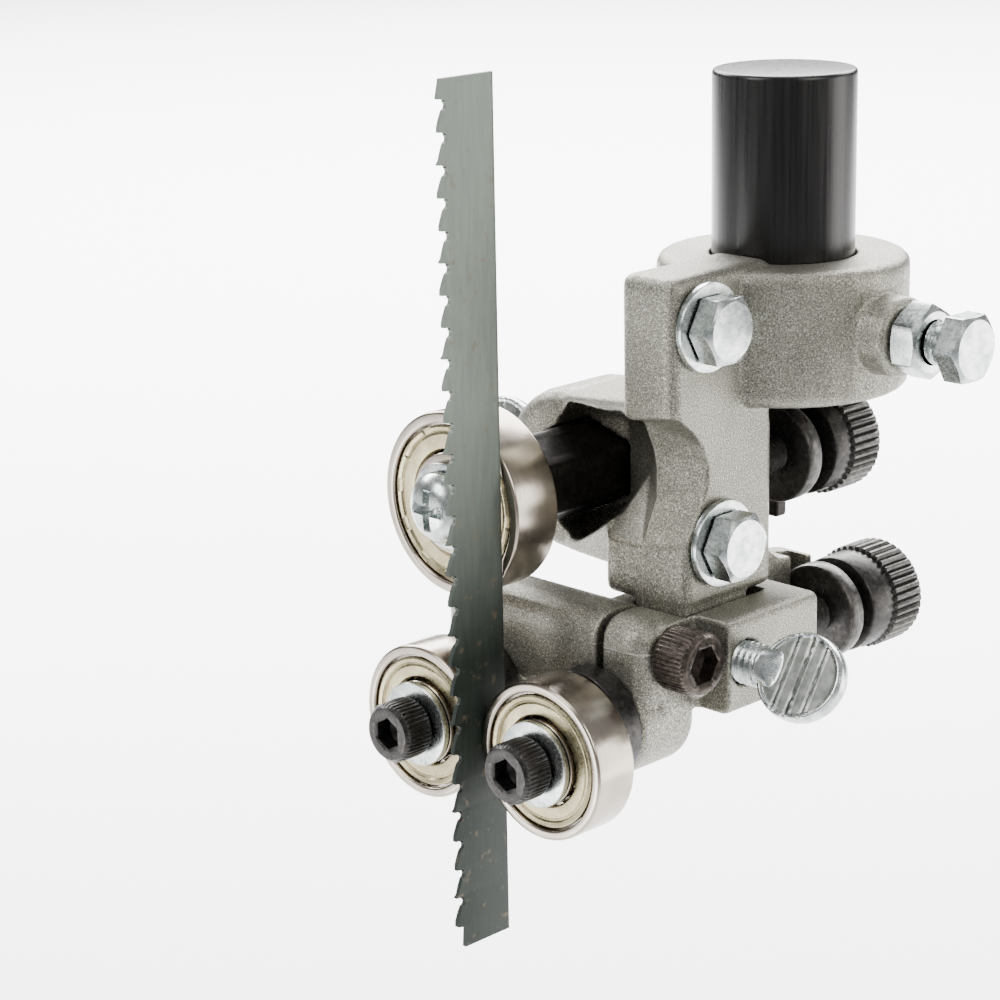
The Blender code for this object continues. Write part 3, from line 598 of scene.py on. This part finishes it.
def bearing(name, spot, bore, outer, width, face, ring_body, inner_body, crimped):
    """A shielded ball bearing: ground rings and pressed shields crimped into the outer ring."""
    wall = (outer - bore) * 0.28
    inner_top = bore + wall
    outer_low = outer - wall * 0.72
    rear = face + width
    ring = rounded([(outer_low, rear), (outer, rear), (outer, face), (outer_low, face)], 0.42, 4,
                   closed=True)
    piece(f"{name}_outer", turned(name, ring, 144, closed=True), spot, "Y", ring_body,
          RING, [f"{name}_outer_ring"])
    ring = rounded([(bore, rear), (inner_top, rear), (inner_top, face), (bore, face)], 0.3, 3,
                   closed=True)
    piece(f"{name}_inner", turned(name, ring, 96, closed=True), spot, "Y", inner_body,
          RING, [f"{name}_inner_ring"])
    for side, start, way in (("front", face + 0.5, -1), ("rear", rear - 0.5, 1)):
        def profile(angle, start=start, way=way):
            near = (angle * 12 / TURN) % 1.0
            notch = 0.24 if crimped and near < 0.28 else 0.0
            lip = outer_low - 0.3
            out = start + way * 0.05
            rows = [(inner_top + 0.35, out - way * 0.30), (inner_top + 0.55, out - way * 0.04),
                    (inner_top + 0.8, out), (lip - 1.35, out), (lip - 1.15, out - way * 0.14),
                    (lip - 0.95, out - way * 0.16), (lip - 0.75, out + way * (0.06 - notch)),
                    (lip - 0.3, out + way * (0.16 - notch)), (lip - 0.05, out + way * 0.06),
                    (lip, out - way * 0.1)]
            back = [(r, h - way * 0.32) for r, h in reversed(rows)]
            return rows + back
        shield = turned(f"{name}_{side}", profile, 264, closed=True)
        piece(f"{name}_{side}_pressed", shield, spot, "Y", ring_body, SHIELD,
              [f"{name}_{side}_shield"])
    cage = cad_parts[f"{name}_ball_cage"]
    cage.data.materials.clear()
    cage.data.materials.append(BALLS)


def bushing(side, x):
    """An eccentric bushing: its flange and shank on one axis, its bearing journal on another."""
    spot = (x, 0, THROW)
    outline = rounded([(0, 15.6), (6.0, 15.6), (6.0, 6.7), (8.2, 6.7), (8.2, 3.0), (5.2, 3.0),
                       (0, 3.0)], 0.35, 3)
    obj = piece(f"{side}_bushing_black", turned(side, outline, 120), spot, "Y",
                f"{side}_bushing", OXIDE, [f"{side}_eccentric_bushing"])
    outline = rounded([(0, 3.6), (5.0, 3.6), (5.0, 2.4), (3.7, 2.4), (3.7, -4.6), (0, -4.6)],
                      0.2, 2)
    journal = bpy.data.objects.new("journal", turned("journal", outline, 72))
    bpy.context.scene.collection.objects.link(journal)
    journal.location = place(x, 0, 0)
    journal.rotation_euler = AXIS_TURNS["Y"]
    return join(obj, journal)


# ------------------------------------------------------------------ knobs, thumb screws, shaft

def knob(name, disc_front, neck, head, stud, spot, body):
    """A knurled knob: threaded stud, retaining disc, neck and fluted head."""
    disc = disc_front + DISC_THICKNESS
    front = disc + neck
    rear = front + head
    knurl_front = rear - KNURL_LENGTH

    def profile(angle):
        fluted = KNURL_RADIUS - knurl(angle, FLUTES, 0.5)
        plain = 7.15
        rows = [(0, rear), (6.3, rear), (6.75, rear - 0.08)]
        rows += [(min(7.0, fluted), rear - 0.35), (min(7.45, fluted), rear - 0.75),
                 (fluted, rear - 1.15), (fluted, knurl_front + 0.4),
                 (fluted - 0.02, knurl_front + 0.15), (min(plain + 0.16, fluted), knurl_front),
                 (min(plain, fluted), knurl_front - 0.1)]
        rows += [(plain, knurl_front - 0.7), (plain, front + 0.5), (plain - 0.15, front + 0.15),
                 (plain - 0.5, front), (3.95, front), (3.8, front - 0.15), (3.8, disc + 0.15),
                 (3.95, disc), (6.7, disc), (6.95, disc - 0.12), (DISC_RADIUS, disc - 0.42),
                 (DISC_RADIUS, disc_front + 0.42), (6.95, disc_front + 0.12), (6.7, disc_front),
                 (M6, disc_front), (M6 - 0.6, disc_front - 0.05)]
        rows += thread_rows(M6, PITCH_M6, angle, disc_front - 0.1, disc_front - stud + 0.5)
        return rows + [(M6 - 0.9, disc_front - stud), (0, disc_front - stud)]
    mesh = turned(name, profile, 320)
    obj = piece(name + "_black", mesh, spot, "Y", body, OXIDE, [name])
    mesh.materials.append(WORN_OXIDE)
    for face in mesh.polygons:
        height = face.center.z / MM
        radius = face.center.xy.length / MM
        rim = disc_front < height < disc and radius > 6.75
        crest = height > knurl_front and radius > 7.5
        if rim or crest:
            face.material_index = 1
    return obj


def paddle_mesh(half_length, half_width, thick):
    """An oval paddle: a flat face with a raised rim and a few thin ridges across it."""
    bm = bmesh.new()
    around, inward = 128, 60
    sides = []
    for sign in (1, -1):
        rings = []
        for j in range(inward + 1):
            t = 1 - j / inward
            ring = []
            for i in range(around):
                angle = TURN * i / around
                x = half_length * t * math.cos(angle)
                y = half_width * t * math.sin(angle)
                height = thick / 2 - 0.24
                edge = (1 - t) * min(half_length, half_width)
                height += 0.22 * max(0.0, 1 - abs(edge - 0.45) / 0.4) ** 0.7
                if edge < 0.2:
                    height -= 0.35 * (1 - edge / 0.2)
                for ridge in (-1.9, 0.6, 3.1):
                    off = x - ridge - 0.03 * y
                    height += 0.17 * max(0.0, 1 - abs(off) / 0.22)
                    height -= 0.13 * max(0.0, 1 - abs(off + 0.42) / 0.2)
                ring.append(bm.verts.new((x * MM, y * MM, sign * height * MM)))
            rings.append(ring)
        for j in range(inward):
            for i in range(around):
                k = (i + 1) % around
                quad = (rings[j][i], rings[j][k], rings[j + 1][k], rings[j + 1][i])
                face = bm.faces.new(quad)
                # Inside the rim the face takes slot 1, the rougher zinc darkened as painted shade
                face.material_index = 1 if j > 8 else 0
        sides.append(rings[0])
    for i in range(around):
        k = (i + 1) % around
        bm.faces.new((sides[0][i], sides[0][k], sides[1][k], sides[1][i]))
    bmesh.ops.dissolve_degenerate(bm, edges=bm.edges, dist=0.0000005)
    mesh = finish_mesh(bm, "paddle", 40)
    mesh.materials.append(ZINC)
    mesh.materials.append(ROUGH_SHADED_ZINC)
    return mesh


def fan_mesh(start, end, half_width, thick):
    """The swelling where a thumb screw's shank is pressed out flat into its paddle."""
    bm = bmesh.new()
    rings = []
    steps = 10
    for j in range(steps + 1):
        t = j / steps
        along = start + (end - start) * t
        wide = 2.75 + (half_width - 2.75) * t ** 1.3
        deep = 2.75 + (thick / 2 - 2.75) * t ** 0.8
        ring = []
        for i in range(32):
            angle = TURN * i / 32
            ring.append(bm.verts.new((along * MM, wide * math.cos(angle) * MM,
                                      deep * math.sin(angle) * MM)))
        rings.append(ring)
    for one, two in zip(rings, rings[1:]):
        for i in range(32):
            k = (i + 1) % 32
            bm.faces.new((one[i], one[k], two[k], two[i]))
    bm.faces.new(rings[0])
    bm.faces.new(rings[-1])
    mesh = finish_mesh(bm, "fan", 40)
    mesh.materials.append(ZINC)
    return mesh


def thumb_screw(name, spot, axis, tip, neck, lean, body):
    """A spade thumb screw: thread, pressed fan and ridged paddle."""
    def profile(angle):
        rows = [(0, neck + 1.4), (2.3, neck + 1.4), (2.7, neck + 1.1), (2.7, neck + 0.8)]
        rows += thread_rows(M6, PITCH_M6, angle, neck + 0.7, tip + 0.5)
        return rows + [(M6 - 0.8, tip), (0, tip)]
    mesh = turned(name, profile, 96)
    obj = piece(name + "_zinc", mesh, spot, axis, body, ZINC, [name])
    # Slot 1 is the rougher zinc darkened as painted shade, for the paddle's face
    mesh.materials.append(ROUGH_SHADED_ZINC)        # the union keeps only the slots that this mesh has
    along = -1 if axis == "-X" else 1
    for part, middle in ((fan_mesh(neck + 0.9, neck + 4.4, 4.3, 2.0), 0.0),
                         (paddle_mesh(6.8, 6.15, 2.5), neck + 7.4)):
        added = bpy.data.objects.new("added", part)
        bpy.context.scene.collection.objects.link(added)
        where = place(spot[0] + along * middle, spot[1], spot[2])
        across = 0.0 if along == 1 else TURN / 2
        added.matrix_world = (Matrix.Translation(where)
                              @ Matrix.Rotation(TURN / 4 - lean, 4, "X")
                              @ Matrix.Rotation(across, 4, "Z"))
        join(obj, added)
    return obj


def thrust_shaft():
    """The black hexagonal shaft with a broken edge at each end and a journal at its front."""
    def profile(angle):
        hexagon = hex_radius(angle, 12.0, TURN / 12, 0.975)
        return [(0, 42.8), (5.5, 42.8), (hexagon - 0.3, 42.7), (hexagon, 42.3), (hexagon, 9.2),
                (hexagon - 0.3, 8.75), (5.7, 8.6), (4.7, 8.6), (4.7, 0.8), (4.5, 0.6), (0, 0.6)]
    return piece("thrust_shaft_black", turned("shaft", profile, 96), (THRUST_X, 0, THRUST_Z), "Y",
                 "thrust_shaft", SHAFT_BLACK, ["thrust_shaft"])


def shift_plate():
    """The shift plate, with its edges broken by a small bevel."""
    obj = bpy.data.objects.new("shift_plate_black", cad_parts["shift_plate"].data.copy())
    bpy.context.scene.collection.objects.link(obj)
    obj.data.materials.clear()
    obj.data.materials.append(SHAFT_BLACK)
    edge = obj.modifiers.new("edge", "BEVEL")
    edge.width = 0.3 * MM
    edge.segments = 3
    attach(obj, "thrust_shaft")
    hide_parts("shift_plate")
    return obj


# ------------------------------------------------------------------ blade

def tooth_edge(tip_z, step):
    """The edge of one tooth and its gullet, from the tip down to just above the next tip."""
    edge = -BLADE_WIDTH
    face = [(edge, 0.0), (edge + 0.5, -0.03), (edge + 1.05, -0.10), (edge + 1.35, -0.32)]
    gullet = []
    for i in range(9):
        t = i / 8
        angle = math.radians(70 - 150 * t)
        gullet.append((edge + 0.97 + 0.56 * math.cos(angle), -0.92 + 0.56 * math.sin(angle)))
    back = [(edge + 0.88, -1.75), (edge + 0.64, -2.3), (edge + 0.4, -2.9),
            (edge + 0.17, -3.6)]
    rows = face + gullet + back
    lean = 0.16 * (0, 1, -1)[step % 3]
    return [(y, tip_z + z, lean * min(1.0, max(0.0, (edge + 1.9 - y) / 1.9))) for y, z in rows]


def blade():
    """The saw blade, with hooked teeth that point down and are set to both sides in turn."""
    bm = bmesh.new()
    edge = [(-BLADE_WIDTH + 0.6, BLADE_TOP, 0.0)]
    step = 0
    tip = BLADE_TOP - 2.6
    while tip > BLADE_BOTTOM + TOOTH_PITCH:
        edge += tooth_edge(tip, step)
        tip -= TOOTH_PITCH
        step += 1
    edge += [(-BLADE_WIDTH, tip, 0.0), (-BLADE_WIDTH + 1.6, tip - 0.4, 0.0),
             (-BLADE_WIDTH + 1.4, BLADE_BOTTOM, 0.0)]
    inner = -BLADE_WIDTH + 2.6
    columns = []
    for x in (0.0, -BLADE_THICKNESS):
        teeth = [bm.verts.new(((x + lean) * MM, y * MM, z * MM)) for y, z, lean in edge]
        root = [bm.verts.new((x * MM, inner * MM, z * MM)) for y, z, lean in edge]
        shy = 0.05 if x == 0.0 else -0.05
        rim = [bm.verts.new((x * MM, -0.12 * MM, z * MM)) for y, z, lean in edge]
        back = [bm.verts.new(((x - shy) * MM, 0.0, z * MM)) for y, z, lean in edge]
        columns.append((teeth, root, rim, back))
    count = len(edge)
    for columns_here in columns:
        for one, two in zip(columns_here, columns_here[1:]):
            for i in range(count - 1):
                bm.faces.new((one[i], one[i + 1], two[i + 1], two[i]))
    right, left = columns
    for i in range(count - 1):
        bm.faces.new((right[0][i], right[0][i + 1], left[0][i + 1], left[0][i]))
        bm.faces.new((right[3][i], right[3][i + 1], left[3][i + 1], left[3][i]))
    for end in (0, count - 1):
        for k in range(3):
            bm.faces.new((right[k][end], right[k + 1][end], left[k + 1][end], left[k][end]))
    mesh = finish_mesh(bm, "saw_blade_strip", 25)
    mesh.transform(Matrix.Translation(DATUM * MM))
    obj = bpy.data.objects.new("saw_blade_strip", mesh)
    bpy.context.scene.collection.objects.link(obj)
    mesh.materials.append(blade_steel())
    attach(obj, "blade")
    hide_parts("saw_blade")
    return obj


# ------------------------------------------------------------------ the whole guide

def build_castings():
    """The bracket and the carriage."""
    bracket = cast_metal("bracket_cast", seam_axis="X", seam_at=-1.6, seam_from=-90.0,
                         seam_to=-46.0, limit_axis="Z")
    carriage = cast_metal("carriage_cast", seam_axis="Z", seam_at=-74.6, seam_from=-60.0,
                          seam_to=8.0, limit_axis="X")
    soft_casting("guide_bracket", "bracket", bracket, 0.30, 7)
    soft_casting("side_guide_carriage", "carriage", carriage, 0.27, 6)


def build_post():
    """The black post."""
    outline = rounded([(0, POST_TOP), (POST_RADIUS, POST_TOP), (POST_RADIUS, POST_BOTTOM),
                       (0, POST_BOTTOM)], 0.7, 4)
    outline = [(radius, height - POST_TOP) for radius, height in outline]
    mesh = turned("guide_post_black", outline, 128)
    piece("guide_post_black", mesh, (*POST, POST_TOP), "Z", "post", post_steel(),
          ["guide_post"])


def build_bolts():
    """Set bolt, jam nut, guard bolts and their washers."""
    spot = (*POST, SET_BOLT_Z)
    hex_bolt("set_bolt", spot, 29.6, 19.3, 29.5, "set_bolt")
    jam_nut(spot)
    for which, (y, z) in GUARD_BOLTS.items():
        name = f"{which}_guard_washer"
        washer(name, (0, y, z), "X", M6 + 0.3, WASHER_RADIUS, ARM_RIGHT + 0.3, 1.0, "bracket")
        hex_bolt(f"{which}_guard_bolt", (0, y, z), ARM_RIGHT + 1.6, 8.4, ARM_RIGHT + 0.2,
                 "bracket")


def build_thrust():
    """Everything on the thrust bearing's shaft."""
    spot = (THRUST_X, 0, THRUST_Z)
    bearing("thrust_bearing", spot, *THRUST_BEARING, 0.3, "thrust_ring", "thrust_shaft",
            crimped=True)
    washer("thrust_washer", spot, "Y", M5 + 0.3, 6.1, -1.0, 1.0, "thrust_shaft")
    pan_screw()
    thrust_shaft()
    shift_plate()
    plate_screw()
    knob("upper_adjusting_knob", 40.0, 2.9, 10.3, 11.0, (KNOB_X, 0, 34.3), "upper_knob")
    thumb_screw("thrust_lock_screw", (THRUST_X, LOCK_Y, THRUST_Z), "-X", 6.3, 12.8,
                math.radians(20), "thrust_lock")


def build_sides():
    """The two side bearings with their bushings and screws."""
    for side, x in (("left", LEFT_X), ("right", RIGHT_X)):
        spot = (x, 0, 0)
        bearing(f"{side}_bearing", spot, *SIDE_BEARING, -4.9, f"{side}_ring",
                f"{side}_bushing", crimped=False)
        bushing(side, x)
        washer(f"{side}_washer", spot, "Y", M5 + 0.3, 6.0, -6.2, 1.0, f"{side}_bushing")
        cap_screw(f"{side}_bearing_screw", (x, -6.5, 0), "-Y", 0.0, 12.0, f"{side}_bushing",
                  OXIDE)
    cap_screw("right_clamp_screw", (0, CLAMP_Y, CLAMP_Z), "X", RIGHT_X + 8.3, 15.0,
              "right_clamp", BROWN_OXIDE, 4.5, 6.0, 4.9)
    set_screw((SET_SCREW_X, SET_SCREW_Y, 0), 8.8, 17.0)


def build_carriage_screws():
    """The carriage's lock screw and adjusting knob."""
    thumb_screw("carriage_lock_screw", (0, THUMB_Y, THUMB_Z), "X", 18.8, 27.2, math.radians(32),
                "carriage_lock")
    knob("lower_adjusting_knob", 50.2, 2.0, 11.8, 18.4, (KNOB_X, 0, 8.2), "lower_knob")


# ------------------------------------------------------------------ camera, floor and light

# The camera's place is in millimetres from the datum, and the floor's height in metres
CAMERA = Vector((252.75, -251.28, 135.44))
AZIMUTH = math.radians(45.194)
ELEVATION = math.radians(15.971)
ROLL = math.radians(-1.122)
LENS = 99.03
FLOOR_Z = -0.62


def aimed(back, roll=0.0):
    """A rotation whose local Z points along back, turned by a roll."""
    right = Vector((0, 0, 1)).cross(back).normalized()
    up = back.cross(right)
    across = right * math.cos(roll) + up * math.sin(roll)
    upward = up * math.cos(roll) - right * math.sin(roll)
    return Matrix((across, upward, back)).transposed().to_4x4()


def add_camera():
    """The camera, at the height and angle of the view being matched."""
    data = bpy.data.cameras.new("camera")
    data.sensor_width = 36.0
    data.lens = LENS
    data.clip_start = 0.01
    data.clip_end = 50.0
    camera = bpy.data.objects.new("camera", data)
    bpy.context.scene.collection.objects.link(camera)
    back = Vector((math.sin(AZIMUTH) * math.cos(ELEVATION),
                   -math.cos(AZIMUTH) * math.cos(ELEVATION), math.sin(ELEVATION)))
    turn = aimed(back, ROLL)
    turn.translation = (CAMERA + DATUM) * MM
    camera.matrix_world = turn
    bpy.context.scene.camera = camera


def add_light(name, spot, target, size, power, colour=(1.0, 1.0, 1.0)):
    """A soft square light that faces a target."""
    data = bpy.data.lights.new(name, "AREA")
    data.shape = "RECTANGLE"
    data.size, data.size_y = size
    data.energy = power
    data.color = colour
    light = bpy.data.objects.new(name, data)
    bpy.context.scene.collection.objects.link(light)
    turn = aimed((Vector(spot) - Vector(target)).normalized())
    turn.translation = Vector(spot)
    light.matrix_world = turn


def add_studio():
    """Pale floor, pale surroundings and soft lights."""
    bm = bmesh.new()
    bmesh.ops.create_grid(bm, x_segments=8, y_segments=8, size=12.0)
    mesh = bpy.data.meshes.new("floor")
    bm.to_mesh(mesh)
    bm.free()
    mesh.materials.append(pale_floor())
    floor = bpy.data.objects.new("floor", mesh)
    floor.location.z = FLOOR_Z
    bpy.context.scene.collection.objects.link(floor)
    world = bpy.data.worlds.new("studio")
    bpy.context.scene.world = world
    world.use_nodes = True
    background = world.node_tree.nodes["Background"]
    background.inputs["Color"].default_value = (0.96, 0.96, 0.98, 1.0)
    background.inputs["Strength"].default_value = 0.34
    middle = (0.0, -0.02, -0.06)
    add_light("backdrop", (-2.7, 2.7, 1.7), (-2.9, 2.9, FLOOR_Z), (5.4, 5.4), 1500.0)
    add_light("key", (0.80, -0.05, 0.45), middle, (0.50, 0.50), 4.5, (1.0, 0.98, 0.93))
    add_light("right", (0.80, 0.80, -0.15), middle, (0.60, 0.80), 8.0, (1.0, 0.99, 0.96))
    add_light("front", (-0.20, -0.75, 0.50), middle, (0.35, 0.45), 5.2)
    add_light("low", (-0.30, -0.60, -0.28), middle, (0.30, 0.30), 2.2)
    add_light("top", (0.0, 0.1, 0.95), middle, (0.60, 0.60), 4.0)


build_castings()
build_post()
build_bolts()
build_thrust()
build_sides()
build_carriage_screws()
blade()
add_studio()
add_camera()
